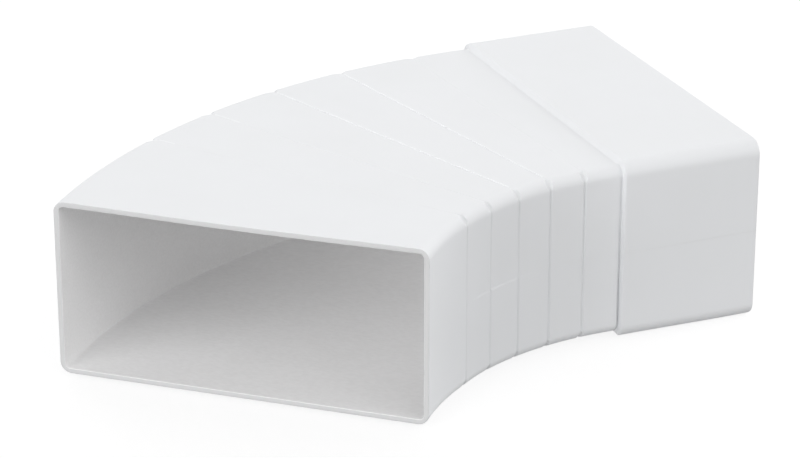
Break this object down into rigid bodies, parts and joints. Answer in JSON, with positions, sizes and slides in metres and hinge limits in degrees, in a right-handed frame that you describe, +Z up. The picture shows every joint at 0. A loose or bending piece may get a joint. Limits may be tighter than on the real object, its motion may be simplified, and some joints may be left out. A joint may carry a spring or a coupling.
{
  "type": "rectangular duct elbow",
  "caption": "Flat rectangular plastic duct elbow with a plain spigot, score grooves round the bend for sawing it to a smaller angle, and a slightly larger straight socket.",
  "frame": {"origin": "centre of the elbow's box, on its underside", "axes": "+Z up; the spigot opens towards -Y; the duct runs towards +Y and turns towards +X"},
  "size_m": [0.2028, 0.211, 0.0634],
  "materials": {
    "white_plastic": "white moulded plastic, satin outside, finely grained inside"
  },
  "bodies": {
    "root": {"duct_elbow": "white_plastic"}
  },
  "joints": []
}
